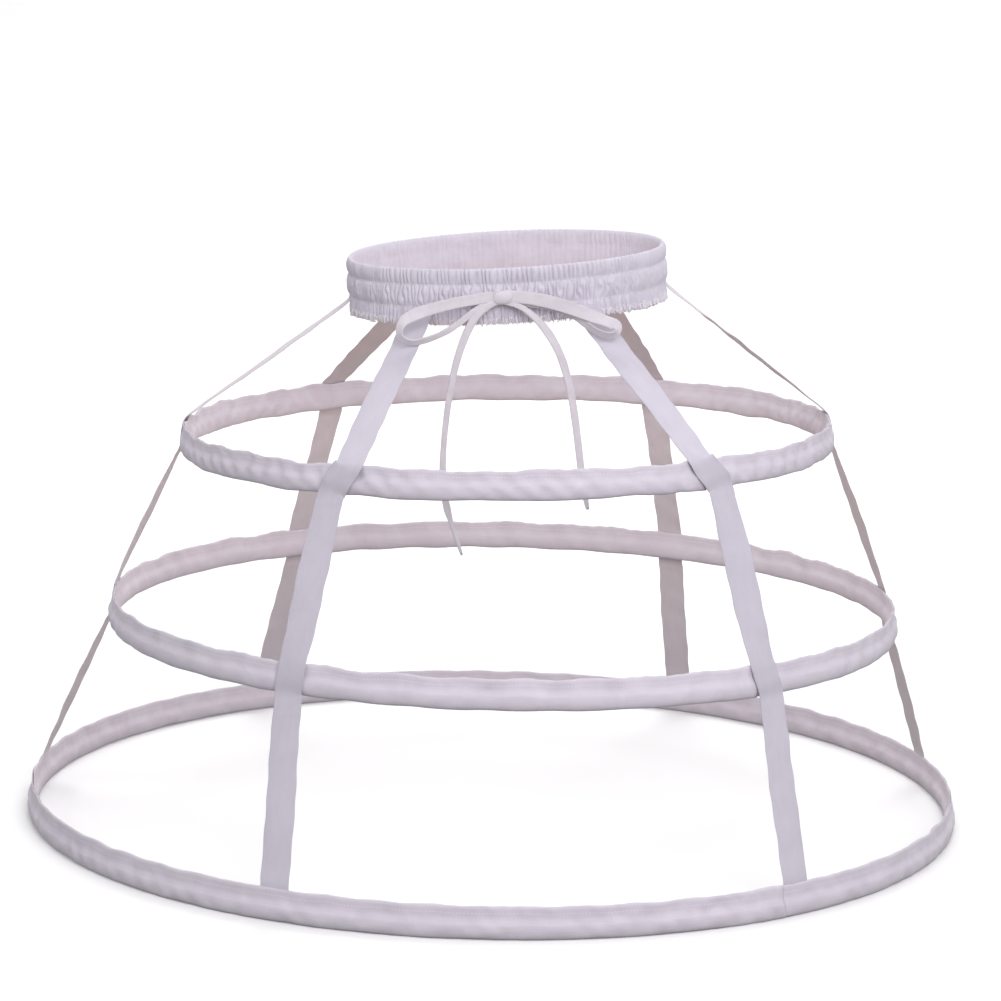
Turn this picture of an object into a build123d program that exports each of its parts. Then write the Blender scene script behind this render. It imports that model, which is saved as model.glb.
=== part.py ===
from build123d import *
from math import asin, atan2, degrees, cos, radians, sin, tan
import os

# A crinoline cage: a gathered waistband with a drawstring, three hoops of boning in cloth
# casings, and six tapes that hang the hoops from the waistband. It stands on its bottom hoop.
# The wearer faces -Y and +Z is up. A turn is counted in degrees round the wearer, from the
# front towards +X. Lengths are in millimetres.

# Hoops: radius to the middle of the casing, casing height, and height above the bottom hoop
bottom_radius = 355.0
middle_radius = 299.5
top_radius = 246.0
bottom_casing = 23.0
middle_casing = 22.0
top_casing = 21.0
middle_height = 145.0
top_height = 281.0
hoop_shift = 6.0  # the two upper hoops hang this far towards +X
top_hoop_tilt = 1.5  # degrees, +X side up

# Casing cloth, and the lap where its two ends overlap beside the front right tape
casing_wall = 1.4
casing_seam = 2.4  # thickness of the stitched edge above the bone
seam_fillet = 2.0
lap_cloth = 0.7
bottom_lap = 24.0
middle_lap = 29.0
top_lap = 18.0
lap_gap = 1.0  # between a lap and the tape beside it

# Bones, and the clips that join their ends
bone_width = 9.0
bone_thickness = 1.6
bone_gap = 2.0
clip_length = 40.0
clip_wall = 0.5

# Clearances: round what is held fast, and round what lies or slides freely
snug_gap = 0.15
loose_gap = 0.3

# Waistband: an oval of four arcs, measured to the middle of its cloth, and how it hangs
waist_half_width = 118.5
waist_half_depth = 91.4
waist_side_radius = 76.0
waist_shift = 5.0  # towards +X
waist_height = 393.0  # of the lower edge above the floor, at the oval's centre
waist_side_tilt = 3.9  # degrees, +X side up
waist_back_tilt = 3.3  # degrees, back up
band_height = 41.0
lower_stitch = 12.5  # heights of the two rows of stitching above the lower edge
upper_stitch = 29.0
stitch_height = 1.6
stitch_thickness = 2.2
ruffle_thickness = 1.8
channel_wall = 1.2
channel_fillet = 1.6

# Elastic in the top channel, and the drawstring tape in the middle one
elastic_width = 7.0
elastic_thickness = 1.2
tape_width = 8.0
tape_thickness = 1.8
tape_bend = 3.0  # radius of the turn out through the opening at the front
tape_spacing = 4.0  # between the two ends in the opening
string_diameter = 4.4  # of the same tape, rolled up where it hangs free

# Knot in front of the opening
knot_width = 13.0
knot_depth = 8.0
knot_top = 6.0  # above the knot's middle
knot_side = 4.7  # flat side faces end this far below the middle
knot_corner = 5.3  # slanted lower corners, which the two tails leave from
knot_gap = 0.6
loop_spacing = 4.6  # between the two ends of a loop, at the knot

# Tapes: size, and the turn of each one at the waist, where it comes onto the top hoop and leaves
# it, where it comes onto the middle hoop and leaves it, and at the bottom hoop
strap_width = 22.0
strap_thickness = 0.8
strap_tuck = 5.0  # depth of its pocket in the bottom hoop's seam
strap_flat = 4.0  # length that lies flat on the waistband below the stitching
strap_steps = 8  # sections along a long run, which turns a little on its way
straps = {
    "strap_front_left": (-27.0, -26.5, -29.6, -29.0, -29.3, -24.5),
    "strap_front_right": (23.0, 33.4, 37.1, 37.1, 38.4, 36.8),
    "strap_side_left": (-90.0, -93.0, -93.0, -94.0, -94.0, -96.0),
    "strap_side_right": (90.0, 95.0, 95.0, 99.0, 99.0, 104.0),
    "strap_back_left": (-155.0, -144.5, -144.5, -145.0, -145.0, -146.0),
    "strap_back_right": (155.0, 151.0, 151.0, 152.0, 152.0, 153.0),
}
lap_strap = "strap_front_right"

# The bow's loops and tails, as points from the knot's middle. Each starts on a face of the knot.
loop_x = knot_width / 2
loop_z = loop_spacing / 2
tail_x = knot_width / 2 - knot_corner / 2
tail_z = knot_side + knot_corner / 2
tail_lead = 6.15  # sideways and down, square to a slanted corner
bow = {
    "bow_left_loop": [
        (-loop_x, 0, loop_z), (-18, 0, loop_z), (-33, -3, -3), (-48, -7, -7), (-63, -12, -14),
        (-72.5, -16, -22), (-68, -18, -31), (-54.5, -14, -29.5), (-39, -8, -24),
        (-24, -3, -17), (-16, -0.5, -7.5), (-12, 0, -loop_z), (-loop_x, 0, -loop_z),
    ],
    "bow_right_loop": [
        (loop_x, 0, loop_z), (17, 0, loop_z), (33, -4, -3.5), (48, -8.5, -7.5),
        (62, -13, -12.5), (71, -17, -16), (77, -20, -21.5), (71, -21.5, -28), (61, -17, -23.5),
        (50, -9.5, -15.5), (39, -2.5, -11.5), (26, 1, -8), (14, 0, -loop_z),
        (loop_x, 0, -loop_z),
    ],
    "bow_left_tail": [
        (-tail_x, -1, -tail_z), (-tail_x - tail_lead, -1, -tail_z - tail_lead),
        (-20, -3, -22.5), (-29, -6, -36), (-36, -9, -55), (-40, -11, -77), (-43, -12, -102),
        (-44, -13, -128), (-41, -13, -153), (-36, -12, -171), (-30, -11.5, -188),
    ],
    "bow_right_tail": [
        (tail_x, -1, -tail_z), (tail_x + tail_lead, -1, -tail_z - tail_lead),
        (20, -3, -20), (30, -5, -31), (39, -7, -46), (46, -9, -63), (51, -10, -82),
        (55, -11, -103), (58, -12, -125), (61, -12, -142), (63, -12, -155),
    ],
}
bend_share = 0.45

os.makedirs("parts", exist_ok=True)

# Worked out from the sizes above
clip_width = bone_width + 2 * (snug_gap + clip_wall)
clip_thickness = bone_thickness + 2 * (snug_gap + clip_wall)
bone_channel_width = clip_width + 2 * loose_gap
bone_channel_thickness = clip_thickness + 2 * loose_gap
casing_half = bone_channel_thickness / 2 + casing_wall
casing_body = bone_channel_width + 2 * casing_wall
tape_channel = tape_thickness + 2 * loose_gap
tape_channel_height = tape_width + 2 * loose_gap
elastic_channel = elastic_thickness + 2 * loose_gap
elastic_channel_height = elastic_width + 2 * loose_gap
band_half = tape_channel / 2 + channel_wall
band_top_half = elastic_channel / 2 + channel_wall
tape_height = (lower_stitch + upper_stitch) / 2
elastic_height = (upper_stitch + stitch_height / 2 + band_height) / 2
strap_off = strap_thickness / 2 + loose_gap

# The waist oval: flat arcs at the front and back, round arcs at the sides, all tangent
side_x = waist_half_width - waist_side_radius
front_radius = (side_x**2 + waist_half_depth**2 - waist_side_radius**2) / (
    2 * (waist_half_depth - waist_side_radius)
)
front_y = front_radius - waist_half_depth
corner_turn = degrees(atan2(side_x, front_y))


def tilted_plane(shift, height, side_tilt, back_tilt):
    """Nearly level plane, raised towards +X and towards the back by its two tilts."""
    rise = tan(radians(side_tilt))
    back_rise = tan(radians(back_tilt))
    return Plane(origin=(shift, 0, height), x_dir=(1, 0, rise), z_dir=(-rise, -back_rise, 1))


waist = tilted_plane(waist_shift, waist_height, waist_side_tilt, waist_back_tilt)
floor_gap = bottom_casing / 2  # from the floor up to the middle of the bottom hoop
# name: plane through the middle of the casing, radius, casing height, lap
hoops = {
    "top": (
        tilted_plane(hoop_shift, floor_gap + top_height, top_hoop_tilt, 0),
        top_radius, top_casing, top_lap,
    ),
    "middle": (
        tilted_plane(hoop_shift, floor_gap + middle_height, 0, 0),
        middle_radius, middle_casing, middle_lap,
    ),
    "bottom": (tilted_plane(0, floor_gap, 0, 0), bottom_radius, bottom_casing, bottom_lap),
}


def save(piece, label):
    """Names a finished piece and writes it."""
    piece.part.label = label
    export_step(piece.part, f"parts/{label}.step")


def outward(base, turn):
    """Direction out from the wearer at a turn, in a tilted plane."""
    return base.x_dir * sin(radians(turn)) - base.y_dir * cos(radians(turn))


def onward(base, turn):
    """Direction round the wearer at a turn, in a tilted plane."""
    return base.x_dir * cos(radians(turn)) + base.y_dir * sin(radians(turn))


def section_plane(base, centre, turn):
    """Upright plane through a centre, with its x outward at a turn and its y up."""
    out = outward(base, turn)
    return Plane(origin=base.from_local_coords(Vector(*centre)), x_dir=out, z_dir=out.cross(base.z_dir))


def upright(base, centre=(0, 0)):
    """Axis through a centre, square to a tilted plane."""
    return Axis(base.from_local_coords(Vector(*centre)), base.z_dir)


def waist_arcs():
    """Centre, radius, first turn and sweep of the waist oval's arcs, from the front round."""
    wide = 2 * corner_turn
    return [
        ((0, front_y), front_radius, -corner_turn, wide),
        ((side_x, 0), waist_side_radius, corner_turn, 180 - wide),
        ((0, -front_y), front_radius, 180 - corner_turn, wide),
        ((-side_x, 0), waist_side_radius, 180 + corner_turn, 180 - wide),
    ]


def waist_point(turn, off, height):
    """Point beside the waist oval, where it faces a turn."""
    for centre, radius, first, sweep in waist_arcs():
        if (turn - first) % 360 <= sweep:
            x = centre[0] + (radius + off) * sin(radians(turn))
            y = centre[1] - (radius + off) * cos(radians(turn))
            return waist.from_local_coords(Vector(x, y, height))


def hoop_point(name, turn, off, height):
    """Point beside a hoop's middle line, at a height above its middle."""
    base, radius = hoops[name][:2]
    return base.origin + outward(base, turn) * (radius + off) + base.z_dir * height


def bone_height(casing_height):
    """Height of the bone's middle above the middle of its casing."""
    return casing_body / 2 - casing_height / 2


def casing_section(radius, casing_height, extra):
    """Outline of a casing: a rounded body under a stitched seam, thicker by extra on each side."""
    bone_z = bone_height(casing_height)
    seam_height = casing_height / 2 - extra - bone_z
    with Locations((radius, bone_z)):
        SlotOverall(casing_body - extra, 2 * (casing_half + extra), 90)
    with Locations((radius, bone_z + seam_height / 2)):
        Rectangle(casing_seam + 2 * extra, seam_height)


def hoop_turns(strap, hoop):
    """Turns at which a strap comes onto a hoop and leaves it."""
    _, top_on, top_off, middle_on, middle_off, bottom = straps[strap]
    return {
        "top": (top_on, top_off), "middle": (middle_on, middle_off), "bottom": (bottom, bottom),
    }[hoop]


def make_hoop(name):
    """Casing, bone and joining clip of one hoop."""
    base, radius, casing_height, lap = hoops[name]
    strap_turn = hoop_turns(lap_strap, name)[1]
    lap_arc = degrees(lap / radius)
    lap_start = strap_turn - degrees((strap_width / 2 + lap_gap) / radius) - lap_arc
    joint_turn = lap_start + lap_arc / 2
    bone_z = bone_height(casing_height)

    with BuildPart() as casing:
        for start, arc, extra in ((0, 360, 0), (lap_start, lap_arc, lap_cloth)):
            with BuildSketch(section_plane(base, (0, 0), start)) as outline:
                casing_section(radius, casing_height, extra)
                fillet(outline.vertices().group_by(Axis.Y)[-2], seam_fillet)
                with Locations((radius, bone_z)):
                    SlotOverall(bone_channel_width, bone_channel_thickness, 90, mode=Mode.SUBTRACT)
            revolve(axis=upright(base), revolution_arc=arc)
        if name == "bottom":
            for turns in straps.values():
                mouth = hoop_point(name, turns[-1], 0, casing_height / 2)
                with BuildSketch(Plane(mouth, x_dir=onward(base, turns[-1]), z_dir=base.z_dir)):
                    Rectangle(strap_width + 2 * loose_gap, strap_thickness + 2 * snug_gap)
                extrude(amount=-strap_tuck, mode=Mode.SUBTRACT)
    save(casing, f"{name}_hoop_casing")

    gap_arc = degrees(bone_gap / radius)
    with BuildPart() as bone:
        with BuildSketch(section_plane(base, (0, 0), joint_turn + gap_arc / 2)):
            with Locations((radius, bone_z)):
                SlotOverall(bone_width, bone_thickness, 90)
        revolve(axis=upright(base), revolution_arc=360 - gap_arc)
    save(bone, f"{name}_hoop_bone")

    clip_arc = degrees(clip_length / radius)
    with BuildPart() as clip:
        with BuildSketch(section_plane(base, (0, 0), joint_turn - clip_arc / 2)):
            with Locations((radius, bone_z)):
                SlotOverall(clip_width, clip_thickness, 90)
                SlotOverall(
                    bone_width + 2 * snug_gap, bone_thickness + 2 * snug_gap, 90, mode=Mode.SUBTRACT
                )
        revolve(axis=upright(base), revolution_arc=clip_arc)
    save(clip, f"{name}_hoop_clip")


def make_waistband():
    """Gathered band: top channel, middle channel, and a ruffle below the lower stitching."""
    with BuildPart() as band:
        for centre, radius, first, sweep in waist_arcs():
            with BuildSketch(section_plane(waist, centre, first)):
                with Locations((radius, lower_stitch / 2)):
                    Rectangle(ruffle_thickness, lower_stitch)
                with Locations((radius, tape_height)):
                    Rectangle(stitch_thickness, upper_stitch - lower_stitch + stitch_height)
                    RectangleRounded(
                        2 * band_half, upper_stitch - lower_stitch - stitch_height, channel_fillet
                    )
                with Locations((radius, elastic_height)):
                    RectangleRounded(
                        2 * band_top_half, 2 * (band_height - elastic_height), channel_fillet
                    )
                    Rectangle(elastic_channel, elastic_channel_height, mode=Mode.SUBTRACT)
                with Locations((radius, tape_height)):
                    Rectangle(tape_channel, tape_channel_height, mode=Mode.SUBTRACT)
            revolve(axis=upright(waist, centre), revolution_arc=sweep)
        opening = Plane(waist_point(0, 0, tape_height), x_dir=waist.x_dir, z_dir=outward(waist, 0))
        opening_width = tape_spacing + 2 * (tape_bend + tape_thickness / 2 + loose_gap)
        with BuildSketch(opening):
            Rectangle(opening_width, tape_channel_height)
        extrude(amount=2 * band_half, mode=Mode.SUBTRACT)
    save(band, "waistband")


def make_elastic():
    """Closed loop of flat elastic in the top channel."""
    with BuildPart() as elastic:
        for centre, radius, first, sweep in waist_arcs():
            with BuildSketch(section_plane(waist, centre, first)):
                with Locations((radius, elastic_height)):
                    Rectangle(elastic_thickness, elastic_width)
            revolve(axis=upright(waist, centre), revolution_arc=sweep)
    save(elastic, "waist_elastic")


def make_drawstring(knot_back):
    """Tape round the middle channel, with both ends turned out through the opening."""
    bend_reach = front_radius + tape_bend
    first_turn = degrees(asin((tape_spacing / 2 + tape_bend) / bend_reach))
    front, side, back = waist_arcs()[:3]
    half_round = (
        (front[0], front[1], first_turn, corner_turn - first_turn),
        side,
        (back[0], back[1], back[2], corner_turn),
    )
    bend_centre = (
        bend_reach * sin(radians(first_turn)),
        front_y - bend_reach * cos(radians(first_turn)),
    )
    with BuildPart() as drawstring:
        for centre, radius, first, sweep in half_round:
            with BuildSketch(section_plane(waist, centre, first)):
                with Locations((radius, tape_height)):
                    Rectangle(tape_thickness, tape_width)
            revolve(axis=upright(waist, centre), revolution_arc=sweep)
        with BuildSketch(section_plane(waist, front[0], first_turn)):
            with Locations((front_radius, tape_height)):
                Rectangle(tape_thickness, tape_width)
        revolve(axis=upright(waist, bend_centre), revolution_arc=90 - first_turn)
        stub_start = waist.from_local_coords(
            Vector(tape_spacing / 2, bend_centre[1], tape_height)
        )
        with BuildSketch(Plane(stub_start, x_dir=waist.x_dir, z_dir=outward(waist, 0))):
            Rectangle(tape_thickness, tape_width)
        extrude(amount=2 * (band_half + knot_gap))
        mirror(about=Plane(waist.origin, x_dir=waist.y_dir, z_dir=waist.x_dir))
        split(bisect_by=Plane((0, knot_back, 0), z_dir=(0, 1, 0)), keep=Keep.TOP)
    save(drawstring, "drawstring_in_band")


def make_knot(middle):
    """Tied knot with flat faces, where the loops and tails of the bow leave it."""
    half = knot_width / 2
    foot = half - knot_corner
    with BuildPart() as knot:
        back = Plane(middle + Vector(0, knot_depth / 2, 0), x_dir=(1, 0, 0), z_dir=(0, -1, 0))
        with BuildSketch(back):
            with BuildLine():
                Polyline(
                    (-half, knot_top), (half, knot_top), (half, -knot_side),
                    (foot, -knot_side - knot_corner), (-foot, -knot_side - knot_corner),
                    (-half, -knot_side), close=True,
                )
            make_face()
        extrude(amount=knot_depth)
    save(knot, "bow_knot")


def bend_radii(points):
    """Largest radius that the two runs beside each corner leave room for."""
    radii = []
    for before, corner, after in zip(points, points[1:], points[2:]):
        run_in = corner - before
        run_out = after - corner
        turn = radians(run_in.get_angle(run_out))
        radii.append(bend_share * min(run_in.length, run_out.length) / tan(turn / 2))
    return radii


def make_bow_cord(name, middle):
    """One loop or tail of the bow, as a round tube along its route."""
    points = [middle + Vector(*point) for point in bow[name]]
    radii = bend_radii(points)
    with BuildPart() as cord:
        with BuildLine():
            route = FilletPolyline(*points, radius=radii)
        with BuildSketch(Plane(points[0], z_dir=points[1] - points[0])) as end:
            Circle(string_diameter / 2)
        sweep(path=route)
    save(cord, name)
    expected = end.sketch.area * route.length
    print(name, "length", round(route.length, 1), "radii", [round(r, 1) for r in radii])
    print(name, "volume", round(cord.part.volume, 1), "section times length", round(expected, 1))


def strap_stations(strap):
    """Points along a strap with the direction across it: waist, over two hoops, third hoop."""
    waist_turn = straps[strap][0]
    waist_across = onward(waist, waist_turn)
    over = strap_off + (lap_cloth if strap == lap_strap else 0)  # it crosses a corner of each lap
    sewn = stitch_thickness / 2 + strap_off
    stations = [
        (waist_point(waist_turn, sewn, lower_stitch), waist_across),
        (waist_point(waist_turn, sewn, lower_stitch - strap_flat), waist_across),
    ]
    for name in hoops:
        base, _, casing_height, _ = hoops[name]
        if name == "bottom":
            places = [(0, casing_height / 2), (0, casing_height / 2 - strap_tuck + snug_gap)]
        else:
            flat = casing_body / 2 - casing_half
            bone_z = bone_height(casing_height)
            places = [
                (casing_seam / 2 + over, casing_height / 2 + strap_off),
                (casing_half + over, bone_z + flat),
                (casing_half + over, bone_z - flat),
            ]
        turn_on, turn_off = hoop_turns(strap, name)
        top, low = places[0][1], places[-1][1]
        for off, height in places:
            turn = turn_on + (turn_off - turn_on) * (top - height) / (top - low)
            stations.append((hoop_point(name, turn, off, height), onward(base, turn)))
    return stations


def add_sections(stations):
    """Stations with more of them along each long run, evenly placed and turned."""
    filled = stations[:1]
    for (before, across_in), (after, across_out) in zip(stations, stations[1:]):
        steps = strap_steps if (after - before).length > 2 * strap_width else 1
        for step in range(1, steps + 1):
            share = step / steps
            across = across_in * (1 - share) + across_out * share
            filled.append((before + (after - before) * share, across.normalized()))
    return filled


def make_strap(name):
    """Flat tape from the waistband down over two hoops into the seam of the third."""
    stations = add_sections(strap_stations(name))
    points = [point for point, _ in stations]
    runs = [(after - before).normalized() for before, after in zip(points, points[1:])]
    with BuildPart() as strap:
        for (point, across), run_in, run_out in zip(stations, runs[:1] + runs, runs + runs[-1:]):
            along = run_in + run_out
            square = along - across * along.dot(across)
            with BuildSketch(Plane(point, x_dir=across, z_dir=square)):
                Rectangle(strap_width, strap_thickness)
        loft(ruled=True)
    save(strap, name)


for hoop in hoops:
    make_hoop(hoop)
make_waistband()
make_elastic()
knot_middle = waist_point(0, band_half + knot_gap + knot_depth / 2, tape_height)
make_knot(knot_middle)
make_drawstring(knot_middle.Y + knot_depth / 2)
for piece in bow:
    make_bow_cord(piece, knot_middle)
for piece in straps:
    make_strap(piece)
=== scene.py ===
# %% [markdown]
# # A crinoline cage in white cotton
# A cage underskirt is mostly air: three hoops of springy bone in cloth casings hang on six flat
# tapes from a gathered waistband, which a drawstring closes with a bow. Its looks come from thin
# cloth: pleats at the waist, puckers along each seam, a soft crease where a tape is sewn down.
# Every piece is built as mesh around the frame, in metres, with +Z up and the front towards -Y.

import bpy
import numpy as np
from math import cos, pi, radians, sin, tan
from mathutils import Matrix, Vector


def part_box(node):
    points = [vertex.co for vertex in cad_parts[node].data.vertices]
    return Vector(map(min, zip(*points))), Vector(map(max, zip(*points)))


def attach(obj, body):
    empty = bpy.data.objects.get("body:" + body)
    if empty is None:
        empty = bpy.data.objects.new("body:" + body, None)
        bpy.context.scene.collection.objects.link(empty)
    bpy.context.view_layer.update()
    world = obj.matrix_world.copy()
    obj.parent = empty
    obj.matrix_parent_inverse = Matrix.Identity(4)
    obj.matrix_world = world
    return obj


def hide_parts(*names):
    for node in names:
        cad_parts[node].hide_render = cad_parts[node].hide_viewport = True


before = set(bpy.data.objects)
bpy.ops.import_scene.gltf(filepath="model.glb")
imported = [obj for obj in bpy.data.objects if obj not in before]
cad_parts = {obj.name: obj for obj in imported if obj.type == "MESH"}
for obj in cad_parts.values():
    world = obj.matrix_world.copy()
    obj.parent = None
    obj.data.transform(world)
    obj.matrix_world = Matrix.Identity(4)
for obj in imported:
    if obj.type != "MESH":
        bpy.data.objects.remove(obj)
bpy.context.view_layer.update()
mm = 0.001
print("frame pieces", len(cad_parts))

# %% [markdown]
# ## Camera
# The cage is seen from the front and a little above, from two and a half metres away, so that
# the back of each hoop shows above its front. A long lens keeps the hoops' ovals gentle. The
# camera leans very slightly, so that the hoops do too.

# %% Camera
camera_place = Vector((0.0, -2.5, 0.6786))
look_down = radians(9.97)
lean = radians(1.2)
camera_data = bpy.data.cameras.new("camera")
camera_data.sensor_width = 36.0
camera_data.lens = 118.6
camera_data.shift_x = 0.0029
camera = bpy.data.objects.new("camera", camera_data)
camera.matrix_world = (
    Matrix.Translation(camera_place)
    @ Matrix.Rotation(pi / 2 - look_down, 4, "X")
    @ Matrix.Rotation(lean, 4, "Z")
)
bpy.context.scene.collection.objects.link(camera)
bpy.context.scene.camera = camera
print("camera", tuple(round(x, 3) for x in camera.location))

# %% [markdown]
# ## Light and floor
# White cloth shows its folds only where light comes from one side, so a broad soft light hangs
# near in front, a little to the right, and others stand further off at each side and behind. A
# faint warm glow inside the cage stands for what the wearer's clothes throw back; light linking
# keeps it off the floor. The floor runs back and curves up into a wall, as a roll of paper does
# in a studio, so that no edge shows behind the cage.

# %% Soft lights
cage_middle = (0, 0, 0.2)


def soft_light(name, place, aim, size, power, colour=(1.0, 1.0, 1.0)):
    """A large square light, turned to face a point."""
    data = bpy.data.lights.new(name, "AREA")
    data.shape = "SQUARE"
    data.size = size
    data.energy = power
    data.color = colour
    lamp = bpy.data.objects.new(name, data)
    lamp.location = place
    lamp.rotation_euler = (Vector(aim) - Vector(place)).to_track_quat("-Z", "Y").to_euler()
    lamp.visible_camera = False
    bpy.context.scene.collection.objects.link(lamp)
    return lamp


soft_light("key_light", (0.4, -1.5, 1.05), cage_middle, 1.0, 16.5, (1.0, 0.985, 1.0))
soft_light("left_light", (-2.6, -0.9, 1.4), cage_middle, 1.6, 19)
soft_light("right_light", (2.7, -0.5, 1.4), cage_middle, 1.6, 15)
soft_light("back_light", (0.2, 1.9, 2.4), (0, 0.2, 0), 1.6, 16)
soft_light("wall_light", (0, 2.2, 3.4), (0, 4.3, 0), 3.0, 100)
inner_glow = bpy.data.lights.new("inner_glow", "POINT")
inner_glow.energy = 0.6
inner_glow.shadow_soft_size = 0.12
inner_glow.color = (1.0, 0.68, 0.5)
glow = bpy.data.objects.new("inner_glow", inner_glow)
glow.location = cage_middle
glow.visible_camera = False
bpy.context.scene.collection.objects.link(glow)
bpy.context.scene.view_settings.view_transform = "Standard"
print("lights", len(bpy.data.lights))

# %% Mesh from a grid of points
def grid_piece(name, points, ring_along=False, ring_across=False, cloth=None, keep=None):
    """A mesh over points[along, across], with its cloth position in metres as a UV map."""
    along, across = points.shape[:2]
    mesh = bpy.data.meshes.new(name)
    mesh.vertices.add(along * across)
    mesh.vertices.foreach_set("co", points.reshape(-1).astype(np.float32))
    i, j = np.meshgrid(
        np.arange(along if ring_along else along - 1),
        np.arange(across if ring_across else across - 1), indexing="ij",
    )
    if keep is not None:
        i, j = i[keep(i, j)], j[keep(i, j)]
    i, j = i.reshape(-1), j.reshape(-1)
    steps = ((0, 0), (0, 1), (1, 1), (1, 0))
    corners = np.stack([(i + a) % along * across + (j + b) % across for a, b in steps], 1)
    mesh.loops.add(corners.size)
    mesh.loops.foreach_set("vertex_index", corners.reshape(-1).astype(np.int32))
    mesh.polygons.add(len(corners))
    mesh.polygons.foreach_set("loop_start", (np.arange(len(corners)) * 4).astype(np.int32))
    mesh.polygons.foreach_set("use_smooth", np.ones(len(corners), bool))
    mesh.update(calc_edges=True)
    if cloth is not None:
        lengths, widths = cloth
        placed = np.stack([
            np.stack([lengths[i + a], widths[j + b]], 1) for a, b in steps
        ], 1)
        layer = mesh.uv_layers.new(name="cloth")
        layer.data.foreach_set("uv", placed.reshape(-1).astype(np.float32))
    mesh.validate()
    piece = bpy.data.objects.new(name, mesh)
    bpy.context.scene.collection.objects.link(piece)
    return piece


def along_lengths(points, ring=False):
    """Running length along a line of points, and on to its start for a ring."""
    line = np.concatenate([points, points[:1]]) if ring else points
    return np.concatenate([[0], np.cumsum(np.linalg.norm(np.diff(line, axis=0), axis=1))])


def unit(vectors):
    """Vectors brought to length 1."""
    return vectors / np.linalg.norm(vectors, axis=-1, keepdims=True)


def spread(steps, lengths, values):
    """Rows of values that belong to lengths along a line, read at other steps along it."""
    return np.stack([np.interp(steps, lengths, column) for column in values.T], -1)


def round_turns(count):
    """Equal turns, in radians, once round a circle."""
    return np.arange(count) * 2 * pi / count


def squared(wave, power):
    """A wave flattened towards a square one: the outline of a tape with rounded edges."""
    return np.sign(wave) * np.abs(wave) ** power


print("mesh helpers ready")

# %% Floor
floor_front, floor_back, floor_side = -6.0, 3.2, 7.0
wall_curve, wall_height = 1.6, 5.0
curve_turns = np.linspace(0, pi / 2, 24)
floor_line = np.concatenate([
    [[floor_front, 0.0]],
    np.stack([
        floor_back + wall_curve * np.sin(curve_turns),
        wall_curve * (1 - np.cos(curve_turns)),
    ], 1),
    [[floor_back + wall_curve, wall_height]],
])
sides = np.linspace(-floor_side, floor_side, 5)
floor_points = np.stack([
    np.stack([np.full(len(floor_line), x), floor_line[:, 0], floor_line[:, 1]], 1)
    for x in sides
], 1)
floor = grid_piece("floor", floor_points)
floor.visible_diffuse = False  # the cloth's undersides stay in shade
unlit = bpy.data.collections.new("unlit_by_glow")
unlit.objects.link(floor)
unlit.collection_objects[0].light_linking.link_state = "EXCLUDE"
glow.light_linking.receiver_collection = unlit
print("floor", len(floor.data.polygons), "faces")

# %% [markdown]
# ## Cloth shown by nodes
# Cotton is threads that pass over and under each other. Each thread is a third of a millimetre
# wide, far too small to model, so a node group makes its height from two sine waves over the
# cloth's own length and width, and every cloth material uses the same group with its own thread
# size. A second group gives soft creases: noise over the piece's own place.

# %% Helpers for node trees
def add_node(tree, kind, links=None, **settings):
    """A node with its settings, and its inputs linked or set by name or number."""
    node = tree.nodes.new(kind)
    for key, value in settings.items():
        setattr(node, key, value)
    for key, value in (links or {}).items():
        if isinstance(value, bpy.types.NodeSocket):
            tree.links.new(value, node.inputs[key])
        else:
            node.inputs[key].default_value = value
    return node


def maths(tree, operation, first, second=0.0):
    """The output of one math node."""
    return add_node(tree, "ShaderNodeMath", {0: first, 1: second}, operation=operation).outputs[0]


def new_group(name, inputs, outputs):
    """An empty node group with named sockets."""
    group = bpy.data.node_groups.new(name, "ShaderNodeTree")
    for label, kind, value in inputs:
        socket = group.interface.new_socket(label, in_out="INPUT", socket_type=kind)
        if value is not None:
            socket.default_value = value
    for label, kind in outputs:
        group.interface.new_socket(label, in_out="OUTPUT", socket_type=kind)
    return group, group.nodes.new("NodeGroupInput"), group.nodes.new("NodeGroupOutput")


FLOAT, VECTOR = "NodeSocketFloat", "NodeSocketVector"
print("node helpers ready")

# %% [markdown]
# ## The room
# A pale room fills the shadows. Its light comes from the world's background, which is bright
# above and dim below, so that the undersides of the tapes and casings stay in soft shade.

# %% Pale room, darker below
world = bpy.data.worlds.new("pale_room")
bpy.context.scene.world = world
world.use_nodes = True
room_tree = world.node_tree
room = room_tree.nodes["Background"]
room.inputs["Color"].default_value = (1.0, 0.985, 1.0, 1)
way = add_node(room_tree, "ShaderNodeTexCoord").outputs["Generated"]
upward = add_node(room_tree, "ShaderNodeSeparateXYZ", {0: way}).outputs[2]
glow_of_room = add_node(room_tree, "ShaderNodeMapRange", {
    "Value": upward, "From Min": -0.4, "From Max": 0.3, "To Min": 0.2, "To Max": 0.48,
})
room_tree.links.new(glow_of_room.outputs[0], room.inputs["Strength"])
print("room", world.name)

# %% Group: woven threads
weave_group, weave_in, weave_out = new_group(
    "woven_threads",
    [("Cloth Position", VECTOR, None), ("Thread Spacing", FLOAT, 0.0004),
     ("Twill", FLOAT, 0.0)],
    [("Thread Height", FLOAT), ("Thread Shade", FLOAT)],
)
parted = add_node(weave_group, "ShaderNodeSeparateXYZ", {0: weave_in.outputs["Cloth Position"]})
turns_per_metre = maths(weave_group, "DIVIDE", 2 * pi, weave_in.outputs["Thread Spacing"])
lengthwise = maths(weave_group, "MULTIPLY", parted.outputs[0], turns_per_metre)
slant = maths(weave_group, "MULTIPLY", lengthwise, weave_in.outputs["Twill"])
crosswise = maths(
    weave_group, "ADD", maths(weave_group, "MULTIPLY", parted.outputs[1], turns_per_metre), slant
)
over = maths(weave_group, "SINE", lengthwise)
under = maths(weave_group, "SINE", crosswise)
crossing = maths(weave_group, "MULTIPLY", over, under)
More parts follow.
